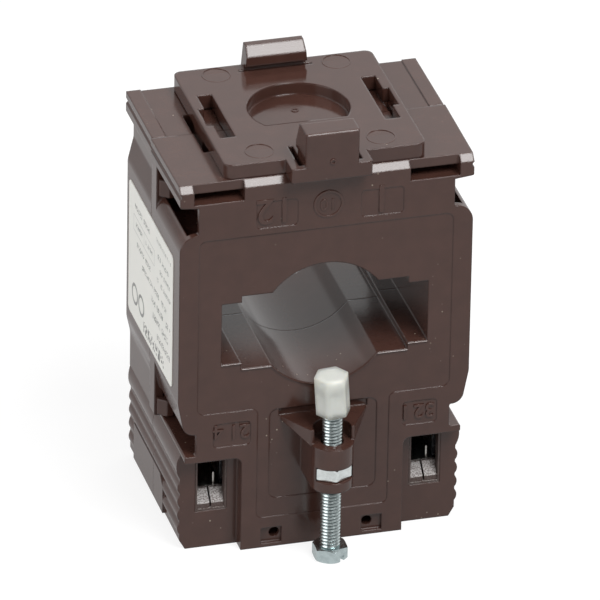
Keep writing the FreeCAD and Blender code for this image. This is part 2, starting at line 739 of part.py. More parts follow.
def clamp_nut():
    nut = hexagon(nut_af, screw_y, (nut_z, nut_z + nut_height), 90)
    hole = rod_z(0, screw_y, (nut_z - over, nut_z + nut_height + over),
                 screw_radius + run_clearance)
    return nut.cut(hole)


def screw_cap():
    cap = hexagon(cap_af, screw_y, cap_z, 0)
    bore = rod_z(0, screw_y, (cap_z[0] - over, cap_z[0] + cap_grip + run_clearance),
                 screw_radius + run_clearance)
    return cap.cut(bore)


def rating_label():
    corners = [(label_y[1], label_z[1], label_corner), (label_y[1], label_z[0], label_corner),
               (label_y[0], label_z[0], label_corner), (label_y[0], label_z[1], label_corner)]
    return prism("yz", corners, -half_width - label_thickness, -half_width)


# ---- core and winding ----
def coil_layer(inset):
    """Ring solid that fills the coil's section, inset from the winding's own surface."""
    y_span = (coil_y[0] + inset, coil_y[1] - inset)
    outer = rounded_plate(coil_outer[0] - inset, coil_outer[1] - inset,
                          coil_outer_radius - inset, y_span)
    inner = rounded_plate(coil_inner[0] + inset, coil_inner[1] + inset,
                          coil_inner_radius + inset, y_span)
    return outer.cut(inner)


def perimeter_points(half_x, half_z, radius, pitch):
    """Evenly spaced points round a rounded rectangle, at about the given pitch."""
    flats = ((half_x - radius) * 2, (half_z - radius) * 2)
    quarter = math.pi * radius / 2
    total = 2 * sum(flats) + 4 * quarter
    count = int(total / pitch)
    points = []
    for k in range(count):
        run = total * k / count
        for side in range(4):
            flat = flats[side % 2]
            turn = math.radians(90 * side)
            along = V(math.cos(turn), 0, math.sin(turn))
            out = V(math.sin(turn), 0, -math.cos(turn))
            reach = (half_z, half_x)[side % 2]
            if run <= flat:
                points.append(out * reach + along * (run - flat / 2))
                break
            run -= flat
            if run <= quarter:
                angle = run / radius
                corner = out * (reach - radius) + along * (flat / 2)
                points.append(corner + (out * math.cos(angle) + along * math.sin(angle)) * radius)
                break
            run -= quarter
    return points


def fluted_prism(half_x, half_z, radius, rise, y_span):
    """Bar whose outline is a row of wire turns; a positive rise bulges outwards."""
    points = perimeter_points(half_x, half_z, radius, turn_pitch)
    edges = []
    for first, last in zip(points, points[1:] + points[:1]):
        middle = (first + last) * 0.5
        chord = (last - first).normalize()
        outward = V(chord.z, 0, -chord.x)
        edges.append(Part.Arc(first, middle + outward * rise, last).toShape())
    section = Part.Face(Part.Wire(edges))
    section.translate(V(0, y_span[0], 0))
    return section.extrude(V(0, y_span[1] - y_span[0], 0))


def secondary_winding():
    outer = fluted_prism(coil_outer[0] - turn_rise, coil_outer[1] - turn_rise,
                         coil_outer_radius - turn_rise, turn_rise, coil_y)
    inner = fluted_prism(coil_inner[0] + turn_rise, coil_inner[1] + turn_rise,
                         coil_inner_radius + turn_rise, -turn_rise, coil_y)
    return outer.cut([inner, coil_layer(wire_diameter)])


def core_insulation():
    return coil_layer(wire_diameter).cut(coil_layer(wire_diameter + insulation_thickness))


def core():
    return coil_layer(wire_diameter + insulation_thickness)


def lead_wire():
    """Right-hand lead: down from the winding, out through the partition, down to the bar."""
    start = V(lead_x, lead_y, -coil_outer[1] - lead_gap)
    end = V(terminal_x, lead_y, bar_top_z)
    bend = lead_bend
    low = V(lead_x, lead_y, lead_run_z)
    turn = V(terminal_x, lead_y, lead_run_z)
    cosine = 1 - math.sqrt(0.5)
    first_arc = Part.Arc(low + V(0, 0, bend), low + V(bend * cosine, 0, bend * cosine),
                         low + V(bend, 0, 0))
    second_arc = Part.Arc(turn + V(-bend, 0, 0), turn + V(-bend * cosine, 0, -bend * cosine),
                          turn + V(0, 0, -bend))
    edges = [Part.LineSegment(start, low + V(0, 0, bend)).toShape(), first_arc.toShape(),
             Part.LineSegment(low + V(bend, 0, 0), turn + V(-bend, 0, 0)).toShape(),
             second_arc.toShape(), Part.LineSegment(turn + V(0, 0, -bend), end).toShape()]
    section = Part.Wire(Part.makeCircle(lead_radius, start, V(0, 0, -1)))
    return Part.Wire(edges).makePipeShell([section], True, False)


# ---- terminals, right-hand side ----
def wire_guide():
    """Funnel in the wire entry: a thin frame and two sloping ribs up to the contact bar."""
    y_span = (block_setback + guide_fit, block_setback + guide_depth)
    low = entry_z[0] - guide_wall
    outer = block((terminal_x - entry_half - guide_wall, terminal_x + entry_half + guide_wall),
                  (y_span[0], block_setback + wall), (low, entry_z[1] + guide_wall))
    inner = block((terminal_x - entry_half, terminal_x + entry_half), (0, block_setback + wall),
                  entry_z)
    frame = outer.cut(inner)
    ramp_y = y_span[0] + ramp_setback
    ramp_low = bar_top_z - ramp_rise
    profile = [(ramp_y, low, 0), (ramp_y, ramp_low, 0), (ramp_y + ramp_rise, bar_top_z, 0),
               (y_span[1], bar_top_z, 0), (y_span[1], low, 0)]
    side = entry_half + guide_wall / 2
    ribs = [prism("yz", profile, terminal_x - side, terminal_x - ramp_slot / 2),
            prism("yz", profile, terminal_x + ramp_slot / 2, terminal_x + side),
            block((terminal_x - entry_half, terminal_x + entry_half),
                  (y_span[0] + ramp_web, y_span[1]), (low, ramp_low))]
    return frame.fuse(ribs).removeSplitter()


def contact_bar():
    return block((terminal_x - bar_half, terminal_x + bar_half), bar_y, (bar_bottom_z, bar_top_z))


def clamp_cage():
    """Square cage round the contact bar, with a thick threaded wall below."""
    left = terminal_x - cage_half
    right = terminal_x + cage_half
    outer = prism("xz", [(left, cage_bottom_z, cage_bottom_radius),
                         (right, cage_bottom_z, cage_bottom_radius),
                         (right, cage_top_z, cage_top_radius),
                         (left, cage_top_z, cage_top_radius)], *cage_y)
    mouth = block((terminal_x - cage_inner_half, terminal_x + cage_inner_half),
                  (cage_y[0] - over, cage_y[1] + over),
                  (cage_bottom_z + cage_thread_wall, cage_top_z - cage_wall))
    hole = rod_z(terminal_x, terminal_y, (cage_bottom_z - over, bar_bottom_z),
                 terminal_screw_radius + run_clearance)
    return outer.cut([mouth, hole])


def terminal_screw():
    """Cheese-head screw that draws the cage down; it is driven from below."""
    head = rod_z(terminal_x, terminal_y, (terminal_head_z, terminal_head_top_z),
                 terminal_head_radius)
    shank = rod_z(terminal_x, terminal_y, (terminal_head_top_z - bite, bar_bottom_z - screw_end_gap),
                  terminal_screw_radius)
    slot = block((terminal_x - terminal_head_radius - over, terminal_x + terminal_head_radius + over),
                 (terminal_y - terminal_slot_width / 2, terminal_y + terminal_slot_width / 2),
                 (terminal_head_z - over, terminal_head_z + terminal_slot_depth))
    return head.cut(slot).fuse(shank).removeSplitter()


# ---- export ----
def save(name, shape):
    if len(shape.Solids) == 1:
        shape = shape.Solids[0]
    print(f"{name:22s} solids {len(shape.Solids)} valid {shape.isValid()} "
          f"volume {shape.Volume:10.2f}")
    shape.exportStep(f"parts/{name}.step")


os.makedirs("parts", exist_ok=True)
save("front_shell", front_shell())
save("rear_shell", rear_shell())
save("rail_plate", rail_plate())
save("rating_label", rating_label())
save("clamp_screw", clamp_screw())
save("clamp_nut", clamp_nut())
save("screw_cap", screw_cap())
save("core", core())
save("core_insulation", core_insulation())
save("secondary_winding", secondary_winding())
for piece in (lead_wire, wire_guide, contact_bar, clamp_cage, terminal_screw):
    right = piece()
    save(f"{piece.__name__}_right", right)
    save(f"{piece.__name__}_left", mirror_x(right))
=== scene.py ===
# %% [markdown]
# # A busbar current transformer, dressed in Blender
# The CAD model gives every part its true size and place. This lesson keeps those solids as a fixed
# frame, adds what a quick solid leaves out, such as threads, marks and a printed label, and gives
# each surface a finish made of shader nodes. Every length is in metres, in the CAD model's frame:
# the origin is the centre of the busbar window in the front face, +Z is up and -Y is the front.

# %% Load the frame
import math

import bmesh
import bpy
from mathutils import Matrix, Vector


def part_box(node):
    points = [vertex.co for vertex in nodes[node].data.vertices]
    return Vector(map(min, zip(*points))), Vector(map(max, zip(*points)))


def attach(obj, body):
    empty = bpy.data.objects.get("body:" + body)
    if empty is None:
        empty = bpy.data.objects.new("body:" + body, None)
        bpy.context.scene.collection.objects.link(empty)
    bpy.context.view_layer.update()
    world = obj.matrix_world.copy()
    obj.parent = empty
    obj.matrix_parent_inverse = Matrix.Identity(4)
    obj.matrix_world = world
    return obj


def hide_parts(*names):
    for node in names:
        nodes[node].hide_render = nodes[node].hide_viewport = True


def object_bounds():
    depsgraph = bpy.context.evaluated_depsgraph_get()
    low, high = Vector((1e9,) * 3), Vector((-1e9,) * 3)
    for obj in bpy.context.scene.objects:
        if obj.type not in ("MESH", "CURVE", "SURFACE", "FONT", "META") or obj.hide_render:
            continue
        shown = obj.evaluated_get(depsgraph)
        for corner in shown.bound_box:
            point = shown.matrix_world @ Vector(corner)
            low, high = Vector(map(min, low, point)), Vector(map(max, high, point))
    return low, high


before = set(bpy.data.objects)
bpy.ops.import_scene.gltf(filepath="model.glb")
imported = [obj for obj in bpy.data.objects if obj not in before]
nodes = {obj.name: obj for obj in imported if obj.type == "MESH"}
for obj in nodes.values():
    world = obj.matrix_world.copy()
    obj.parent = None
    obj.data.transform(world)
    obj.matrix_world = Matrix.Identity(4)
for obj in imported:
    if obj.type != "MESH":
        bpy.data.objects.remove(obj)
cad_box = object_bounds()
bpy.ops.object.select_all(action="DESELECT")
print(len(nodes), "CAD nodes; the box runs from", cad_box[0], "to", cad_box[1])

# %% [markdown]
# ## Hand tools
# Each new piece starts as a primitive at its own size and place. Applying the place puts it into
# the mesh, so that patterns on Object coordinates stay put. Faces and edges are selected in code,
# by where they lie, and then the same operators are used that a modeller reaches for by hand.

# %% Modelling helpers
MM = 0.001


def mm(*values):
    """Millimetres as metres, for a place, a size or a step."""
    return tuple(value * MM for value in values)


def named(name):
    """The object just added, under its own name and with its place applied to its mesh."""
    piece = bpy.context.object
    piece.name = name
    piece.data.name = name
    bpy.ops.object.transform_apply(location=True, rotation=True, scale=True)
    return piece


def choose(piece):
    bpy.ops.object.select_all(action="DESELECT")
    piece.select_set(True)
    bpy.context.view_layer.objects.active = piece


def edit(piece, kind, wanted):
    """Enters edit mode with the faces, edges or vertices selected for which wanted is true."""
    choose(piece)
    bpy.ops.object.mode_set(mode="EDIT")
    bpy.ops.mesh.select_mode(type={"faces": "FACE", "edges": "EDGE", "verts": "VERT"}[kind])
    bpy.ops.mesh.select_all(action="DESELECT")
    mesh = bmesh.from_edit_mesh(piece.data)
    for item in getattr(mesh, kind):
        if wanted(item):
            item.select_set(True)
    bmesh.update_edit_mesh(piece.data)


def leave():
    bpy.ops.object.mode_set(mode="OBJECT")


def apply(piece, kind, **settings):
    """Adds a modifier with these settings and applies it."""
    choose(piece)
    modifier = piece.modifiers.new(kind.lower(), kind)
    for key, value in settings.items():
        setattr(modifier, key, value)
    bpy.ops.object.modifier_apply(modifier=modifier.name)


def combine(piece, tool, operation):
    """Cuts, keeps or joins one closed mesh by another, and removes the tool."""
    apply(piece, "BOOLEAN", object=tool, operation=operation, solver="EXACT")
    bpy.data.objects.remove(tool)


def copied(piece, name, offset):
    """A copy with its own mesh, moved by offset inside that mesh."""
    twin = bpy.data.objects.new(name, piece.data.copy())
    twin.data.name = name
    bpy.context.collection.objects.link(twin)
    twin.data.transform(Matrix.Translation(Vector(offset)))
    return twin


def smooth(piece, degrees=30.0):
    choose(piece)
    bpy.ops.object.shade_smooth_by_angle(angle=math.radians(degrees))


def put(piece, body, material):
    """Gives a finished piece its material and the body that it rides on."""
    piece.data.materials.clear()
    piece.data.materials.append(material)
    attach(piece, body)
    print(f"{piece.name}: {len(piece.data.polygons)} faces, rides on {body}")


# %% [markdown]
# ## Writing shader maths as Python
# A finish is a network of nodes. One small class wraps a socket, so that sums and products of
# values read like the formula they are, and one method adds any other kind of node.

# %% A socket that understands + - * /
class Wire:
    """One output socket of a node tree."""

    def __init__(self, tree, socket):
        self.tree = tree
        self.socket = socket

    def node(self, kind, settings, inputs, out=0):
        """Adds a node: its settings first, then the value or link of each input socket."""
        made = self.tree.nodes.new("ShaderNode" + kind)
        for key, value in settings.items():
            setattr(made, key, value)
        for key, value in inputs.items():
            if isinstance(value, Wire):
                self.tree.links.new(value.socket, made.inputs[key])
            else:
                made.inputs[key].default_value = value
        return Wire(self.tree, made.outputs[out])

    def maths(self, operation, *values, clamp=False):
        return self.node("Math", {"operation": operation, "use_clamp": clamp},
                         dict(enumerate(values)))

    def __add__(self, other):
        return self.maths("ADD", self, other)

    def __radd__(self, other):
        return self.maths("ADD", other, self)

    def __sub__(self, other):
        return self.maths("SUBTRACT", self, other)

    def __rsub__(self, other):
        return self.maths("SUBTRACT", other, self)

    def __mul__(self, other):
        return self.maths("MULTIPLY", self, other)

    def __rmul__(self, other):
        return self.maths("MULTIPLY", other, self)

    def __truediv__(self, other):
        return self.maths("DIVIDE", self, other)

    def above(self, level, width):
        """0 below level, 1 above level + width, and a straight rise between them."""
        return self.maths("DIVIDE", self - level, width, clamp=True)

    def mixed(self, low, high):
        """The colour low where this is 0 and high where it is 1."""
        return self.node("Mix", {"data_type": "RGBA"}, {0: self, 6: low, 7: high}, out=2)


def rgb(red, green, blue):
    return (red, green, blue, 1.0)


def new_finish(name):
    """An empty material: its Principled shader, and a wire that carries Object coordinates."""
    material = bpy.data.materials.new(name)
    material.use_nodes = True
    tree = material.node_tree
    shader = tree.nodes["Principled BSDF"]
    coordinates = tree.nodes.new("ShaderNodeTexCoord")
    return material, shader, Wire(tree, coordinates.outputs["Object"])


def feed(shader, name, wire):
    wire.tree.links.new(wire.socket, shader.inputs[name])


def noise(place, scale, detail=2.0):
    """Noise of about 0.3 to 0.7, with blots 1/scale metres wide."""
    return place.node("TexNoise", {}, {"Vector": place, "Scale": scale, "Detail": detail})


print("shader helpers ready")

# %% [markdown]
# ## Moulded plastic
# The shells and the rail plate are dark brown polycarbonate. A spark-eroded mould leaves a fine
# grain, which scatters the gloss a little; the walls of the busbar tube are polished. Edges are
# painted darker and redder than the faces: painted shade for the dark they mirror, and a painted
# glow for light coming through thin plastic. Corners are never sharp: the Bevel node rounds them
# for the light without changing the mesh. Handling leaves fine dust.

# %% The brown plastic
def polished_zone(place):
    """1 on the walls of the busbar window, which were polished in the mould."""
    half_width, half_height, sharp = 20.6 * MM, 13.4 * MM, 0.01 * MM
    across, height = (place.node("SeparateXYZ", {}, {0: place}, out=axis) for axis in "XZ")
    facing = place.node("NewGeometry", {}, {}, out="True Normal")
    frontal = place.node("SeparateXYZ", {}, {0: facing}, out="Y").maths("ABSOLUTE")
    wide = across.maths("ABSOLUTE").above(half_width, sharp)
    tall = height.maths("ABSOLUTE").above(half_height, sharp)
    return (1.0 - wide) * (1.0 - tall) * (1.0 - frontal.above(0.5, 0.01))


def cutter_lines(place):
    """Fine lines along X on faces that slope up to the front, from the cutter of the mould."""
    facing = place.node("NewGeometry", {}, {}, out="True Normal")
    pitch, waver, weight = 0.55 * MM, 0.2 * MM, 1.2
    depth, height = (place.node("SeparateXYZ", {}, {0: place}, out=axis) for axis in "YZ")
    ahead, upward = (place.node("SeparateXYZ", {}, {0: facing}, out=axis) for axis in "YZ")
    sloping = (0.0 - ahead).above(0.3, 0.1) * upward.above(0.5, 0.1)
    uneven = noise(place, 400.0, 1.0) * waver
    lines = place.maths("SINE", (depth + height + uneven) * (2 * math.pi / pitch))
    return lines * sloping * weight


def moulded(name, base, gloss, corner, dust, polish=0.0):
    """Moulded plastic; gloss is the roughness of its faces and corner the radius of its edges."""
    material, shader, place = new_finish(name)
    mottle = noise(place, 260.0, 3.0).above(0.35, 0.3)
    dark = tuple(0.93 * part for part in base)
    light = tuple(1.07 * part for part in base)
    colour = mottle.mixed(rgb(*dark), rgb(*light))
    rounded = place.node("Bevel", {"samples": 6}, {"Radius": corner})
    face = place.node("NewGeometry", {}, {}, out="True Normal")
    bend = place.node("VectorMath", {"operation": "DOT_PRODUCT"}, {0: rounded, 1: face}, out=1)
    edge = (1.0 - bend).above(0.02, 0.25)
    # Painted shade and glow: edges get a darker, redder colour, standing in for the dark they
    # mirror and the red light through thin plastic.
    colour = (edge * 0.85).mixed(colour, rgb(0.042, 0.012, 0.007))
    cells = {"Vector": place, "Scale": 900.0}
    speck = place.node("TexVoronoi", {}, cells)
    patch = noise(place, 75.0).above(0.55, 0.12)
    rare = place.node("TexVoronoi", {}, cells, out="Color")
    chance = place.node("SeparateColor", {}, {0: rare}).above(1.0 - dust, 0.01)
    mask = (1.0 - speck.above(0.09, 0.08)) * chance * patch
    colour = mask.mixed(colour, rgb(0.42, 0.36, 0.28))
    feed(shader, "Base Color", colour)
    rough = gloss + 0.08 * (noise(place, 90.0, 4.0) - 0.5)
    if polish:
        rough = rough * (1.0 - polish * polished_zone(place))
    feed(shader, "Roughness", rough + 0.25 * mask)
    grain = noise(place, 5200.0, 2.0) + cutter_lines(place)
    bump = place.node("Bump", {}, {"Strength": 0.10, "Distance": 0.00004, "Height": grain,
                                   "Normal": rounded})
    feed(shader, "Normal", bump)
    shader.inputs["IOR"].default_value = 1.55
    return material


HOUSING_BROWN = (0.064, 0.0285, 0.0215)
CLIP_BROWN = (0.062, 0.0280, 0.0215)
# Roughness, edge radius and share of dust; the polish goes on the window's walls only.
housing_plastic = moulded("housing_plastic", HOUSING_BROWN, 0.17, 0.45 * MM, 0.28, polish=0.3)
clip_plastic = moulded("clip_plastic", CLIP_BROWN, 0.12, 0.60 * MM, 0.08)
mark_plastic = moulded("mark_plastic", HOUSING_BROWN, 0.17, 0.07 * MM, 0.0)


def sparked_plastic():
    """The wire guides: a coarse spark-eroded face, with a painted pale sheen on the grain that
    faces up.
    """
    material, shader, place = new_finish("sparked_plastic")
    crater = noise(place, 3800.0, 3.0)
    facing = place.node("NewGeometry", {}, {}, out="True Normal")
    upward_sheen = place.node("SeparateXYZ", {}, {0: facing}, out="Z").above(0.1, 0.1)
    # Painted highlight: the grain on upward faces is coloured pale grey, standing in for the
    # softbox's sheen.
    pale = crater.above(0.40, 0.2) * (0.15 + 0.85 * upward_sheen)
    feed(shader, "Base Color", pale.mixed(rgb(0.060, 0.034, 0.028), rgb(0.36, 0.335, 0.32)))
    feed(shader, "Roughness", 0.30 + 0.2 * crater)
    feed(shader, "Normal", place.node("Bump", {}, {"Strength": 0.5, "Distance": 0.00006,
                                                   "Height": crater}))
    return material


guide_plastic = sparked_plastic()
print("plastics:", housing_plastic.name, clip_plastic.name, guide_plastic.name)

# %% [markdown]
# ## Metal
# The clamping screw and its nut are zinc-plated steel with the bluish tint of a clear passivate.
# Plating follows the machined surface, so the roughness varies in soft spots and the surface
# keeps faint turning marks.

# %% Zinc, tin, copper and core steel
def plated(name, tone, gloss, marks):
    """Plated metal; marks is the spacing of its fine turning lines along Z."""
    material, shader, place = new_finish(name)
    spots = noise(place, 900.0, 3.0).above(0.35, 0.3)
    dull = tuple(0.84 * part for part in tone)
    feed(shader, "Base Color", spots.mixed(rgb(*dull), rgb(*tone)))
    feed(shader, "Roughness", gloss + 0.16 * (noise(place, 1500.0) - 0.5))
    height = place.node("SeparateXYZ", {}, {0: place}, out="Z")
    lines = place.maths("SINE", height * (2 * math.pi / marks))
    grain = lines * 0.3 + noise(place, 6000.0)
    feed(shader, "Normal", place.node("Bump", {}, {"Strength": 0.12, "Distance": 0.00003,
                                                   "Height": grain}))
    shader.inputs["Metallic"].default_value = 1.0
    return material


blue_zinc = plated("blue_zinc", (0.60, 0.65, 0.69), 0.26, 0.12 * MM)
# Painted highlight: the nut's zinc is a lighter copy of the same plating, its extra brightness
# painted into the base colour.
bright_zinc = plated("bright_zinc", (0.92, 0.97, 0.96), 0.20, 0.40 * MM)
screw_zinc = plated("screw_zinc", (0.63, 0.73, 0.74), 0.22, 0.40 * MM)
tin_plate = plated("tin_plate", (0.62, 0.60, 0.56), 0.30, 0.30 * MM)

# The clamp axis stands upright, in front of the front face.
SCREW_Y = -6.2 * MM


def rolled_thread():
    """Plated thread: bright on the crests, with painted shade darkening the groove."""
    material, shader, place = new_finish("rolled_thread")
    across, depth = (place.node("SeparateXYZ", {}, {0: place}, out=axis) for axis in "XY")
    reach = place.node("VectorMath", {"operation": "LENGTH"},
                       {0: place.node("CombineXYZ", {}, {"X": across, "Y": depth - SCREW_Y})},
                       out=1)
    crest = reach.above(1.55 * MM, 0.35 * MM)
    film = 0.25 * noise(place, 1800.0, 2.0)
    # Painted shade: the groove is coloured dark, for the shade between the thread's flanks.
    feed(shader, "Base Color", crest.mixed(rgb(0.09, 0.12, 0.125), rgb(0.80, 0.90, 0.90)))
    feed(shader, "Roughness", 0.34 - 0.22 * crest + film)
    feed(shader, "Normal", place.node("Bump", {}, {"Strength": 0.1, "Distance": 0.00003,
                                                   "Height": noise(place, 4000.0)}))
    shader.inputs["Metallic"].default_value = 1.0
    return material


def enamelled_wire():
    """Varnished copper: a coloured metal under a clear coat."""
    material, shader, place = new_finish("enamelled_wire")
    tone = noise(place, 300.0, 3.0).above(0.3, 0.4)
    feed(shader, "Base Color", tone.mixed(rgb(0.42, 0.15, 0.06), rgb(0.60, 0.24, 0.10)))
    feed(shader, "Roughness", 0.25 + 0.2 * noise(place, 2000.0))
    shader.inputs["Metallic"].default_value = 0.9
    shader.inputs["Coat Weight"].default_value = 0.8
    return material


def wound_strip():
    """Silicon steel strip seen on edge: fine rings round the window."""
    material, shader, place = new_finish("wound_strip")
    axes = place.node("VectorMath", {"operation": "MULTIPLY"}, {0: place, 1: (1.0, 0.0, 1.0)})
    reach = place.node("VectorMath", {"operation": "LENGTH"}, {0: axes}, out=1)
    rings = place.maths("SINE", reach * (2 * math.pi / (0.3 * MM)))
    shade = (rings * 0.5 + 0.5) * 0.6 + 0.4 * noise(place, 700.0)
    feed(shader, "Base Color", shade.mixed(rgb(0.16, 0.165, 0.175), rgb(0.36, 0.37, 0.39)))
    feed(shader, "Roughness", 0.35 + 0.2 * shade)
    feed(shader, "Normal", place.node("Bump", {}, {"Strength": 0.3, "Distance": 0.00004,
                                                   "Height": rings}))
    shader.inputs["Metallic"].default_value = 0.85
    return material


def insulating_tape():
    """Yellow polyester tape, lapped at an angle round the core."""
    material, shader, place = new_finish("insulating_tape")
    depth = place.node("SeparateXYZ", {}, {0: place}, out="Y")
    lap = place.maths("FRACT", depth / (6.0 * MM))
    tone = (1.0 - lap.above(0.0, 0.06)) * 0.7 + 0.3 * noise(place, 400.0)
    feed(shader, "Base Color", tone.mixed(rgb(0.70, 0.52, 0.16), rgb(0.46, 0.31, 0.08)))
    feed(shader, "Roughness", 0.30 + 0.15 * noise(place, 900.0))
    return material


winding_finish = enamelled_wire()
core_finish = wound_strip()
tape_finish = insulating_tape()
print("metals and coil finishes:", blue_zinc.name, bright_zinc.name, tin_plate.name,
      winding_finish.name)

# %% [markdown]
# ## Nylon
# The cap that presses on the busbar is natural nylon, so that it grips without marking the bar.
# Natural nylon is milky: light goes in, spreads and comes out a little yellower, most of all along
# edges and where the wall is thin. Subsurface scattering gives some of that at the scale of the
# part; the yellower edges are a painted glow in the base colour.

# %% The natural nylon
def natural_nylon():
    """Milky nylon; a second, wider Bevel blurs the flats, as light inside the part does."""
    material, shader, place = new_finish("natural_nylon")
    rounded = place.node("Bevel", {"samples": 6}, {"Radius": 0.30 * MM})
    soft = place.node("Bevel", {"samples": 12}, {"Radius": 2.2 * MM})
    face = place.node("NewGeometry", {}, {}, out="True Normal")
    bend = place.node("VectorMath", {"operation": "DOT_PRODUCT"}, {0: rounded, 1: face}, out=1)
    edge = (1.0 - bend).above(0.01, 0.2)
    cloud = noise(place, 220.0, 3.0).above(0.35, 0.3)
    body = cloud.mixed(rgb(0.66, 0.68, 0.635), rgb(0.73, 0.74, 0.69))
    # Painted glow: edges take a paler, yellower colour, standing in for light coming out through
    # thin nylon.
    feed(shader, "Base Color", (edge * 0.7).mixed(body, rgb(0.76, 0.71, 0.55)))
    feed(shader, "Roughness", 0.34 + 0.15 * (noise(place, 700.0) - 0.5))
    feed(shader, "Normal", place.node("Bump", {}, {"Strength": 0.08, "Distance": 0.00004,
                                                   "Height": noise(place, 3500.0),
                                                   "Normal": soft}))
    shader.inputs["Subsurface Weight"].default_value = 0.35
    shader.inputs["Subsurface Radius"].default_value = (1.0, 0.9, 0.7)
    shader.inputs["Subsurface Scale"].default_value = 1.2 * MM
    shader.inputs["IOR"].default_value = 1.53
    return material


nylon = natural_nylon()
print("nylon ready")

# %% [markdown]
# ## Finishes for the CAD parts
# Most solids already have the right shape, so they stay and only take a finish. The four that
# are replaced further down are in the table as well, because the loop looks up every node.

# %% Dress the CAD nodes
FINISHES = {"front_shell": housing_plastic, "rear_shell": housing_plastic,
            "rail_plate": clip_plastic, "core": core_finish, "core_insulation": tape_finish,
            "secondary_winding": winding_finish, "lead_wire": winding_finish,
            "wire_guide": guide_plastic, "contact_bar": tin_plate, "clamp_cage": blue_zinc,
            "terminal_screw": blue_zinc, "clamp_nut": blue_zinc, "clamp_screw": blue_zinc,
            "screw_cap": nylon, "rating_label": nylon}
for name, node in nodes.items():
    kind = name.replace("_left", "").replace("_right", "")
    for slot in node.material_slots:
        slot.material = FINISHES[kind]
print("finishes given to", ", ".join(sorted(nodes)))

# %% [markdown]
# ## The nylon cap, the nut and the screw head
# All three are turned from hexagon bar: the lathe leaves a cone at each end, and where that cone
# meets the six flats it draws the curved corners that say "machined". So each starts as a
# six-sided cylinder, and a round blank with coned ends is intersected with it.

# %% Coned hexagons
def coned_hexagon(name, low, high, flats, turn, cone_low, cone_high):
    """Hexagon bar from low to high with a cone (inset, height) at each end."""
    corner = flats / math.sqrt(3)
    middle = (0.0, SCREW_Y, (low + high) / 2)
    bpy.ops.mesh.primitive_cylinder_add(vertices=6, radius=corner, depth=high - low,
                                        location=middle, rotation=(0, 0, math.radians(turn)))
    bar = named(name)
    blank_low = low + cone_low[1]
    blank_high = high - cone_high[1]
    bpy.ops.mesh.primitive_cylinder_add(vertices=96, radius=corner + 0.02 * MM,
                                        depth=blank_high - blank_low,
                                        location=(0.0, SCREW_Y, (blank_low + blank_high) / 2))
    blank = named(name + "_blank")
    for sign, (inset, height) in ((-1, cone_low), (1, cone_high)):
        edit(blank, "faces", lambda face: face.normal.z * sign > 0.9)
        bpy.ops.mesh.extrude_region_move(
            TRANSFORM_OT_translate={"value": (0, 0, sign * (height + 0.001 * MM))})
        shrink = 1.0 - inset / corner
        bpy.ops.transform.resize(value=(shrink, shrink, 1.0),
                                 center_override=(0.0, SCREW_Y, 0.0))
        leave()
    combine(bar, blank, "INTERSECT")
    return bar


def bored(piece, low, high, radius):
    """Drills a round hole up the clamp axis."""
    bpy.ops.mesh.primitive_cylinder_add(vertices=48, radius=radius, depth=high - low,
                                        location=(0.0, SCREW_Y, (low + high) / 2))
    combine(piece, named("drill"), "DIFFERENCE")


cap_low, cap_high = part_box("screw_cap")
cap = coned_hexagon("nylon_cap", cap_low.z, cap_high.z, 5.9 * MM, 90.0,
                    mm(0.12, 0.10), mm(0.12, 0.10))
bored(cap, cap_low.z - MM, cap_low.z + 5.54 * MM, 2.35 * MM)
edit(cap, "edges", lambda edge: abs(edge.verts[0].co.z - edge.verts[1].co.z) > 5.0 * MM
     and (edge.verts[0].co.xy - Vector((0.0, SCREW_Y))).length > 2.5 * MM)
bpy.ops.mesh.bevel(offset=0.18 * MM, segments=3)
leave()
# The cap sits loosely on the tip of the screw, so it leans to one side about a point in its bore.
LEAN = math.radians(-4.0)
hinge = Matrix.Translation((0.0, SCREW_Y, cap_low.z + 1.7 * MM))
cap.data.transform(hinge @ Matrix.Rotation(LEAN, 4, "Y") @ hinge.inverted())
smooth(cap, 30.0)
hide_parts("screw_cap")
put(cap, "clamp_cap", nylon)

nut_low, nut_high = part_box("clamp_nut")
nut = coned_hexagon("hexagon_nut", nut_low.z, nut_high.z, 7.0 * MM, 0.0,
                    mm(0.5, 0.26), mm(0.5, 0.26))
bored(nut, nut_low.z - MM, nut_high.z + MM, 2.04 * MM)
smooth(nut, 20.0)
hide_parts("clamp_nut")
put(nut, "housing", bright_zinc)

# %% [markdown]
# ## The clamping screw
# A rolled thread is one groove wound up a rod. Drawing the outline of a single pitch and letting
# the Screw modifier wind it gives the true helix, which also shows in the silhouette, as a bump
# would not. The ends are then trimmed flat. The slotted head is a piece of its own that rides on
# the same body.

# %% Wind the thread
PITCH = 0.7 * MM
ROOT_RADIUS = 1.50 * MM
CREST_RADIUS = 2.0 * MM
screw_low, screw_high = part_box("clamp_screw")
HEAD_HEIGHT = 2.8 * MM
shank_low = screw_low.z + HEAD_HEIGHT
turns = math.ceil((screw_high.z - shank_low) / PITCH) + 2

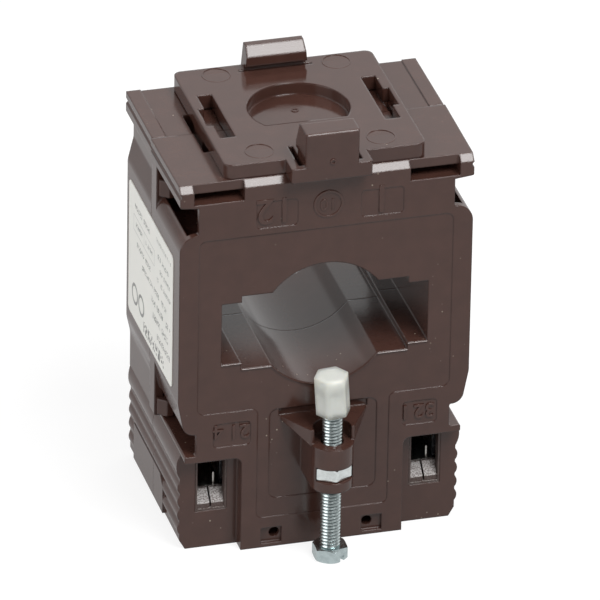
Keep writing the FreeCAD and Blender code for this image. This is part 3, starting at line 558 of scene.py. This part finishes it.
bpy.ops.mesh.primitive_plane_add(size=MM, location=(0, 0, 0))
screw = named("clamping_screw")
edit(screw, "verts", lambda vertex: True)
bpy.ops.mesh.merge(type="CENTER")
bpy.ops.transform.translate(value=(ROOT_RADIUS, 0, shank_low - PITCH))
rise = CREST_RADIUS - ROOT_RADIUS
for step in ((rise, 0, 0.40 * PITCH), (0, 0, 0.10 * PITCH), (-rise, 0, 0.40 * PITCH),
             (0, 0, 0.10 * PITCH)):
    bpy.ops.mesh.extrude_region_move(TRANSFORM_OT_translate={"value": step})
leave()
apply(screw, "SCREW", axis="Z", angle=2 * math.pi, screw_offset=PITCH, iterations=turns,
      steps=32, render_steps=32, use_merge_vertices=True, merge_threshold=0.002 * MM,
      use_smooth_shade=True)
edit(screw, "verts", lambda vertex: True)
bpy.ops.mesh.remove_doubles(threshold=0.002 * MM)
for level, sign in ((shank_low - 0.05 * MM, -1), (screw_high.z, 1)):
    bpy.ops.mesh.select_all(action="SELECT")
    bpy.ops.mesh.bisect(plane_co=(0, 0, level), plane_no=(0, 0, sign), use_fill=True,
                        clear_outer=True)
bpy.ops.mesh.select_all(action="SELECT")
bpy.ops.mesh.normals_make_consistent(inside=False)
leave()
screw.data.transform(Matrix.Translation((0.0, SCREW_Y, 0.0)))
print("thread:", turns, "turns,", len(screw.data.polygons), "faces")

# %% Cut the slotted head
head = coned_hexagon("slotted_head", screw_low.z, shank_low, 6.1 * MM, 0.0,
                     mm(0.45, 0.3), mm(0.65, 0.38))
bpy.ops.mesh.primitive_cube_add(size=1.0, location=(0.0, SCREW_Y, screw_low.z),
                                rotation=(0, 0, math.radians(-55.0)),
                                scale=mm(10.0, 1.0, 2.2))
combine(head, named("slot_cutter"), "DIFFERENCE")
smooth(head, 20.0)
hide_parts("clamp_screw")
put(screw, "clamp_screw", rolled_thread())
put(head, "clamp_screw", screw_zinc)

# %% [markdown]
# ## The rating label
# A pale polyester film on the left side carries the ratings. A cube is squeezed to the film's
# size and its four corners are rounded. Its print is left generic: ruled lines, two plain rings,
# and rows of random marks where words would be. A row is a stripe at one height; inside it, cells
# filled by random blocks of ink look like small type from arm's length.

# %% The film
label_low, label_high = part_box("rating_label")
label_size = label_high - label_low
label_middle = (label_low + label_high) / 2
bpy.ops.mesh.primitive_cube_add(size=1.0, location=label_middle, scale=label_size)
label = named("rating_film")
edit(label, "edges", lambda edge: abs((edge.verts[0].co - edge.verts[1].co).normalized().x) > 0.9)
bpy.ops.mesh.bevel(offset=1.2 * MM, segments=8)
leave()
edit(label, "faces", lambda face: face.normal.x < -0.9)
bpy.ops.mesh.inset(thickness=0.1 * MM)
bpy.ops.transform.translate(value=(-0.0001 * MM, 0, 0))
leave()
smooth(label, 40.0)


def printed_film():
    """Satin film with printed rows, rules and rings, drawn in millimetres along Y and up Z."""
    material, shader, place = new_finish("printed_film")
    along = place.node("SeparateXYZ", {}, {0: place}, out="Y") / MM
    up = place.node("SeparateXYZ", {}, {0: place}, out="Z") / MM
    ink = 0.0 * along

    def band(value, low, high):
        """1 between low and high, with edges 0.05 wide."""
        return value.above(low, 0.05) * (1.0 - value.above(high, 0.05))

    def type_row(y_low, y_high, z_low, z_high, width, share, seed, strength):
        """A row of small type: letter cells with gaps, filled by finer random blocks of ink."""
        letter = place.maths("FLOOR", along / width)
        used = 1.0 - place.node("TexWhiteNoise", {"noise_dimensions": "1D"},
                                {"W": letter + seed}).above(share, 0.01)
        gap = 1.0 - place.maths("FRACT", along / width).above(0.74, 0.05)
        block = place.node("CombineXYZ", {}, {"X": place.maths("FLOOR", along / (0.25 * width)),
                                              "Y": place.maths("FLOOR", up / (0.30 * width)),
                                              "Z": seed})
        inked = place.node("TexWhiteNoise", {}, {"Vector": block}).above(0.42, 0.05)
        inside = band(along, y_low, y_high) * band(up, z_low, z_high)
        return inside * used * gap * inked * (1.7 * strength)

    def ring(y, z, radius, strength):
        """A plain printed circle."""
        offset = place.node("CombineXYZ", {}, {"X": along - y, "Y": up - z})
        reach = place.node("VectorMath", {"operation": "LENGTH"}, {0: offset}, out=1)
        half_line = 0.32
        return band(reach, radius - half_line, radius + half_line) * strength

    # Along from, to; up from, to; letter width; share of letters used; seed; strength.
    rows = ((6.0, 17.0, 12.6, 13.4, 0.55, 0.80, 3.0, 0.45),
            (21.0, 33.0, 11.3, 12.4, 0.80, 0.80, 17.0, 0.6),
            (19.5, 24.5, 7.6, 8.6, 0.8, 0.85, 29.0, 0.6),
            (27.0, 32.0, 7.6, 8.6, 0.8, 0.85, 31.0, 0.6),
            (6.5, 16.0, 9.4, 10.4, 0.75, 0.80, 41.0, 0.55),
            (6.5, 15.0, 6.8, 7.8, 0.75, 0.80, 43.0, 0.55),
            (19.0, 31.0, 3.6, 4.7, 0.80, 0.80, 53.0, 0.6),
            (6.0, 16.0, 4.2, 5.2, 0.75, 0.80, 59.0, 0.55),
            (9.0, 27.0, 0.8, 1.9, 0.80, 0.80, 61.0, 0.6),
            (6.0, 20.0, -2.2, -0.9, 0.95, 0.80, 67.0, 0.7),
            (7.0, 19.0, -5.2, -3.9, 0.95, 0.80, 71.0, 0.7),
            (6.0, 15.5, -8.2, -6.9, 0.95, 0.85, 79.0, 0.7),
            (10.5, 25.5, -12.0, -9.6, 1.90, 0.95, 83.0, 1.0))
    for row in rows:
        ink = ink + type_row(*row)
    ink = ink + ring(32.2, -7.3, 1.9, 0.9) + ring(27.4, -7.3, 1.9, 0.9)
    rules = (band(along, 18.0, 33.5) * (band(up, 9.6, 9.72) + band(up, 6.3, 6.42))
             + band(up, 6.3, 9.7) * (band(along, 18.0, 18.12) + band(along, 25.7, 25.82)
                                     + band(along, 33.4, 33.52)))
    ink = ink.maths("MINIMUM", ink + 0.7 * rules, 1.0)
    paper = noise(place, 150.0, 3.0).above(0.3, 0.4)
    pale = paper.mixed(rgb(0.91, 0.91, 0.86), rgb(0.95, 0.94, 0.89))
    feed(shader, "Base Color", (ink * 0.8).mixed(pale, rgb(0.06, 0.06, 0.065)))
    feed(shader, "Roughness", 0.42 + 0.1 * noise(place, 600.0))
    feed(shader, "Normal", place.node("Bump", {}, {"Strength": 0.06, "Distance": 0.00003,
                                                   "Height": noise(place, 900.0)}))
    return material


film = printed_film()
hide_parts("rating_label")
put(label, "housing", film)

# %% [markdown]
# ## Marks on the front face
# Four shallow plaques hold plain numbers. A number is a text object made into a mesh, turned to
# face the front and set upside down, so that it reads right with the rail at the bottom. Its back
# is sunk 0.05 mm into the plaque's floor, and its face stands 0.15 mm out from the front. Some
# numbers reach past the edge of their plaque. A small one sits in a ring between the upper two.

# %% Raised numbers
PLAQUE_FLOOR = 0.15 * MM
SUNK = 0.05 * MM
RISE = 0.35 * MM
ROUNDING = 0.09 * MM
FONT_SCALE = 1.8
# The number, the middle of its place in X and Z, and its nominal height, in millimetres.
MARKS = (("12", -10.3, 25.8, 4.2), ("1", 10.6, 25.8, 4.6), ("4", -20.8, -20.9, 2.4),
         ("21", -16.6, -21.3, 2.4), ("1", 16.2, -21.6, 2.4), ("32", 20.0, -21.7, 2.4),
         ("10", 0.2, 25.7, 1.9))


def raised_number(name, digit, x, z, height):
    """A number in relief; its mesh comes out 1.26 to 1.33 times as tall as the nominal height."""
    bpy.ops.object.text_add(location=(0, 0, 0))
    text = bpy.context.object
    text.data.body = digit
    text.data.align_x = "CENTER"
    text.data.align_y = "CENTER"
    text.data.size = height * FONT_SCALE
    text.data.extrude = RISE / 2 - ROUNDING
    text.data.bevel_depth = ROUNDING
    text.data.offset = -0.02 * MM
    bpy.ops.object.convert(target="MESH")
    text.rotation_euler = (math.radians(90.0), math.radians(180.0), 0.0)
    text.location = (x, PLAQUE_FLOOR + SUNK - RISE / 2, z)
    return named(name)


for order, (digit, x, z, height) in enumerate(MARKS):
    mark = raised_number(f"plaque_number_{order + 1}", digit, x * MM, z * MM, height * MM)
    put(mark, "housing", mark_plastic)
print("raised numbers:", len(MARKS))

# %% [markdown]
# ## Ejector marks and gate marks
# Ejector pins push a moulding out of its mould and leave shallow rings; the gate, where the melt
# came in, leaves a small nib. A ring is a disc whose top face is inset and pushed in.

# %% Rings and nibs
def pressed_ring(name, centre, radius, width, height, tilt=0.0):
    """A low ring on a flat face; tilt turns it from lying flat to facing the front."""
    sunk = 0.04 * MM
    bpy.ops.mesh.primitive_cylinder_add(vertices=72, radius=radius, depth=height + sunk,
                                        location=(0, 0, (height - sunk) / 2))
    ring = named(name)
    edit(ring, "faces", lambda face: face.normal.z > 0.9)
    bpy.ops.mesh.inset(thickness=width)
    bpy.ops.mesh.extrude_region_move(
        TRANSFORM_OT_translate={"value": (0, 0, -height - 0.02 * MM)})
    leave()
    edit(ring, "edges", lambda edge: edge.is_manifold and edge.calc_face_angle() > 1.0
         and min(vertex.co.z for vertex in edge.verts) > height - 0.001 * MM)
    bpy.ops.mesh.bevel(offset=min(0.3 * width, 0.4 * height), segments=2)
    leave()
    ring.data.transform(Matrix.Translation(centre) @ Matrix.Rotation(tilt, 4, "X"))
    smooth(ring, 40.0)
    return ring


PLATE_TOP = 35.45 * MM
master = pressed_ring("ejector_ring_1", (*mm(-11.9, 5.8), PLATE_TOP), 2.8 * MM, 0.22 * MM,
                      0.11 * MM, math.radians(1.6))
put(master, "housing", mark_plastic)
for order, offset in enumerate(((23.8, 0, 0), (0, 31.4, 0), (23.8, 31.4, 0))):
    twin = copied(master, f"ejector_ring_{order + 2}", mm(*offset))
    put(twin, "housing", mark_plastic)
plain_ring = pressed_ring("front_ring", mm(0.2, 0.0, 25.7), 2.95 * MM, 0.50 * MM, 0.22 * MM,
                          math.radians(91.5))
put(plain_ring, "housing", mark_plastic)
dish_nib = pressed_ring("dish_gate_mark", mm(0.2, 24.4, 33.0), 0.75 * MM, 0.3 * MM, 0.15 * MM)
put(dish_nib, "housing", mark_plastic)
nose_nib = pressed_ring("nose_gate_mark", mm(0.1, -3.0, 36.3), 0.6 * MM, 0.3 * MM, 0.25 * MM,
                        math.radians(90.0))
put(nose_nib, "housing", mark_plastic)

# %% [markdown]
# ## Beads along the window
# Where the two halves of a mould meet, a little plastic creeps into the gap and leaves a bead.
# Along the lower edges of the window its upper facet faces half way between the lamp and the
# camera, so it shows as a bright line. A square bar turned by 45 degrees makes a straight bead;
# a thin torus, cut off above, follows the round bore.

# %% Straight and round beads
BEAD = 0.26 * MM
bead_count = 0
for side in (-1, 1):
    for inner, outer, height in ((16.4, 20.3, -6.5), (10.4, 16.4, -7.85)):
        bead_count += 1
        middle = mm(side * (inner + outer) / 2, 0.0, height)
        bpy.ops.mesh.primitive_cube_add(size=1.0, rotation=(math.radians(45.0), 0, 0),
                                        location=(middle[0], 0.0, middle[2] - BEAD / math.sqrt(2)),
                                        scale=((outer - inner) * MM, BEAD, BEAD))
        bead = named(f"window_bead_{bead_count}")
        edit(bead, "edges", lambda edge: abs((edge.verts[0].co - edge.verts[1].co).x) > MM)
        bpy.ops.mesh.bevel(offset=0.2 * BEAD, segments=2)
        leave()
        smooth(bead, 30.0)
        put(bead, "housing", mark_plastic)
bpy.ops.mesh.primitive_torus_add(major_radius=13.0 * MM + 0.35 * BEAD, minor_radius=0.5 * BEAD,
                                 major_segments=160, minor_segments=16,
                                 rotation=(math.radians(90.0), 0, 0))
bore_bead = named("bore_bead")
edit(bore_bead, "verts", lambda vertex: True)
# Bisect cuts nothing without the edges and faces, which this operator selects as well.
bpy.ops.mesh.select_all(action="SELECT")
bpy.ops.mesh.bisect(plane_co=mm(0, 0, -7.9), plane_no=(0, 0, 1), use_fill=True, clear_outer=True)
leave()
smooth(bore_bead, 60.0)
put(bore_bead, "housing", mark_plastic)

# %% [markdown]
# ## Lugs on the contact bars
# Each contact bar ends in a small upright lug in front of the clamp, beside the wire. In the dark
# mouth it catches the light as a short bright line.

# %% Two lugs
bar_low, bar_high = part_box("contact_bar_right")
bar_middle = (bar_low.x + bar_high.x) / 2
bpy.ops.mesh.primitive_cube_add(size=1.0, location=(bar_middle + 1.44 * MM, 6.9 * MM,
                                                    bar_high.z + 1.3 * MM),
                                scale=mm(0.55, 0.5, 2.7))
lug = named("bar_lug_right")
edit(lug, "edges", lambda edge: abs((edge.verts[0].co - edge.verts[1].co).z) > MM
     or min(vertex.co.z for vertex in edge.verts) > bar_high.z + MM)
bpy.ops.mesh.bevel(offset=0.2 * MM, segments=4)
leave()
smooth(lug, 60.0)
put(lug, "housing", tin_plate)
put(copied(lug, "bar_lug_left", (-2 * bar_middle, 0, 0)), "housing", tin_plate)
print("lugs at x =", round(bar_middle + 1.44 * MM, 5), "and", round(1.44 * MM - bar_middle, 5))

# %% [markdown]
# ## The studio
# The part stands on a sheet that sweeps up behind it. The sheet is a dark grey that glows for the
# camera, and half as much in reflections, but not for matt surfaces. So it renders white, throws
# little light back, and still takes the part's shadow. A small bright softbox high in front picks
# out every edge that faces half way up; two large dim ones fill in from the left and from behind.

# %% Floor and sweep
BASE_Z = cad_box[0][2]
bpy.ops.mesh.primitive_plane_add(size=3.0, location=(0, 0.5, BASE_Z))
floor = named("studio_floor")
edit(floor, "edges", lambda edge: min(vertex.co.y for vertex in edge.verts) > 1.9)
bpy.ops.mesh.extrude_region_move(TRANSFORM_OT_translate={"value": (0, 0, 1.6)})
leave()
edit(floor, "edges", lambda edge: all(abs(vertex.co.y - 2.0) < 0.01 and vertex.co.z < 0.1
                                      for vertex in edge.verts))
bpy.ops.mesh.bevel(offset=0.6, segments=12)
leave()
smooth(floor, 60.0)


def white_sheet():
    """The sheet: its grey lies in the base colour and its white in the glow."""
    glow_seen, reflected_share = 0.82, 0.52
    material, shader, place = new_finish("white_sheet")
    tree = material.node_tree
    fibre = noise(place, 30.0).above(0.3, 0.4)
    feed(shader, "Base Color", fibre.mixed(rgb(0.20, 0.20, 0.20), rgb(0.22, 0.22, 0.22)))
    shader.inputs["Roughness"].default_value = 0.9
    shader.inputs["Specular IOR Level"].default_value = 0.0
    path = tree.nodes.new("ShaderNodeLightPath")
    seen = Wire(tree, path.outputs["Is Camera Ray"])
    glossy = Wire(tree, path.outputs["Is Glossy Ray"])
    through = Wire(tree, path.outputs["Is Transmission Ray"])
    glow = seen.maths("MAXIMUM", seen, reflected_share * seen.maths("MAXIMUM", glossy, through))
    feed(shader, "Emission Strength", glow * glow_seen)
    shader.inputs["Emission Color"].default_value = rgb(1.0, 1.0, 1.0)
    return material


floor.data.materials.append(white_sheet())

# %% [markdown]
# ## World and lamps
# The camera sees a white world. Mirror rays see the same white, apart from a dark ceiling in
# front, which leaves the edges dark beside their highlight. Rays from matt surfaces see a dimmer
# world that grows towards white on the left. A lamp's power is worked out from the brightness
# that a mirror would show.

# %% World and lamps
world = bpy.data.worlds.new("studio")
bpy.context.scene.world = world
world.use_nodes = True
sky = world.node_tree
path = sky.nodes.new("ShaderNodeLightPath")
seen = Wire(sky, path.outputs["Is Camera Ray"])
glossy = Wire(sky, path.outputs["Is Glossy Ray"])
through = Wire(sky, path.outputs["Is Transmission Ray"])
heading = Wire(sky, sky.nodes.new("ShaderNodeTexCoord").outputs["Generated"])
across, depth, height = (heading.node("SeparateXYZ", {}, {0: heading}, out=axis) for axis in "XYZ")
AMBIENT = 0.40
CEILING_SHADE = 0.85
dim_ceiling = (0.5 - depth).above(0.0, 0.55) * height.above(0.0, 0.35)
white_wall = (0.0 - across).above(0.1, 0.8) * height.above(-0.1, 0.1)
for_gloss = 1.0 - CEILING_SHADE * dim_ceiling
for_matt = AMBIENT + (1.0 - AMBIENT) * white_wall
strength = for_matt + glossy * (for_gloss - for_matt)
shown = seen.maths("MAXIMUM", seen, through)
sky.nodes["Background"].inputs["Color"].default_value = rgb(1.0, 1.0, 1.0)
sky.links.new((strength + shown * (1.0 - strength)).socket,
              sky.nodes["Background"].inputs["Strength"])


def softbox(name, direction, distance, size, radiance):
    """A square area lamp that faces the part; radiance is what a mirror would show."""
    light = bpy.data.lights.new(name, "AREA")
    light.size = size
    light.energy = radiance * math.pi * size * size
    lamp = bpy.data.objects.new(name, light)
    bpy.context.collection.objects.link(lamp)
    towards = Vector(direction).normalized()
    lamp.location = towards * distance
    lamp.rotation_euler = towards.to_track_quat("Z", "Y").to_euler()
    print(f"{name}: {light.energy:.2f} W")


softbox("key_softbox", (0.246, -0.487, 0.839), 1.2, 0.60, 11.0)
softbox("left_softbox", (-0.94, -0.25, 0.25), 1.3, 0.9, 1.8)
softbox("rear_softbox", (0.25, 0.84, 0.49), 1.4, 2.4, 0.45)

# %% [markdown]
# ## Camera
# A long lens, far away, keeps upright edges nearly parallel. The three directions are worked out
# from the azimuth, the elevation and a slight roll, and then written into the camera's matrix.

# %% Camera
AZIMUTH, ELEVATION, ROLL = (math.radians(angle) for angle in (-15.95, 29.10, 1.05))
DISTANCE, LEFTWARD, UPWARD = 1.897, 0.00479, 0.00435
back = Vector((math.sin(AZIMUTH) * math.cos(ELEVATION),
               -math.cos(AZIMUTH) * math.cos(ELEVATION), math.sin(ELEVATION)))
level = Vector((math.cos(AZIMUTH), math.sin(AZIMUTH), 0.0))
upright = back.cross(level)
right = math.cos(ROLL) * level + math.sin(ROLL) * upright
top = math.cos(ROLL) * upright - math.sin(ROLL) * level
view = bpy.data.cameras.new("studio_camera")
view.sensor_width = 36.0
view.lens = 600.6
view.clip_end = 50.0
camera = bpy.data.objects.new("studio_camera", view)
bpy.context.collection.objects.link(camera)
place = back * DISTANCE - right * LEFTWARD + top * UPWARD
camera.matrix_world = Matrix.Translation(place) @ Matrix((right, top, back)).transposed().to_4x4()
bpy.context.scene.camera = camera
bpy.context.scene.view_settings.view_transform = "Standard"
print("camera at", tuple(round(part, 4) for part in place))
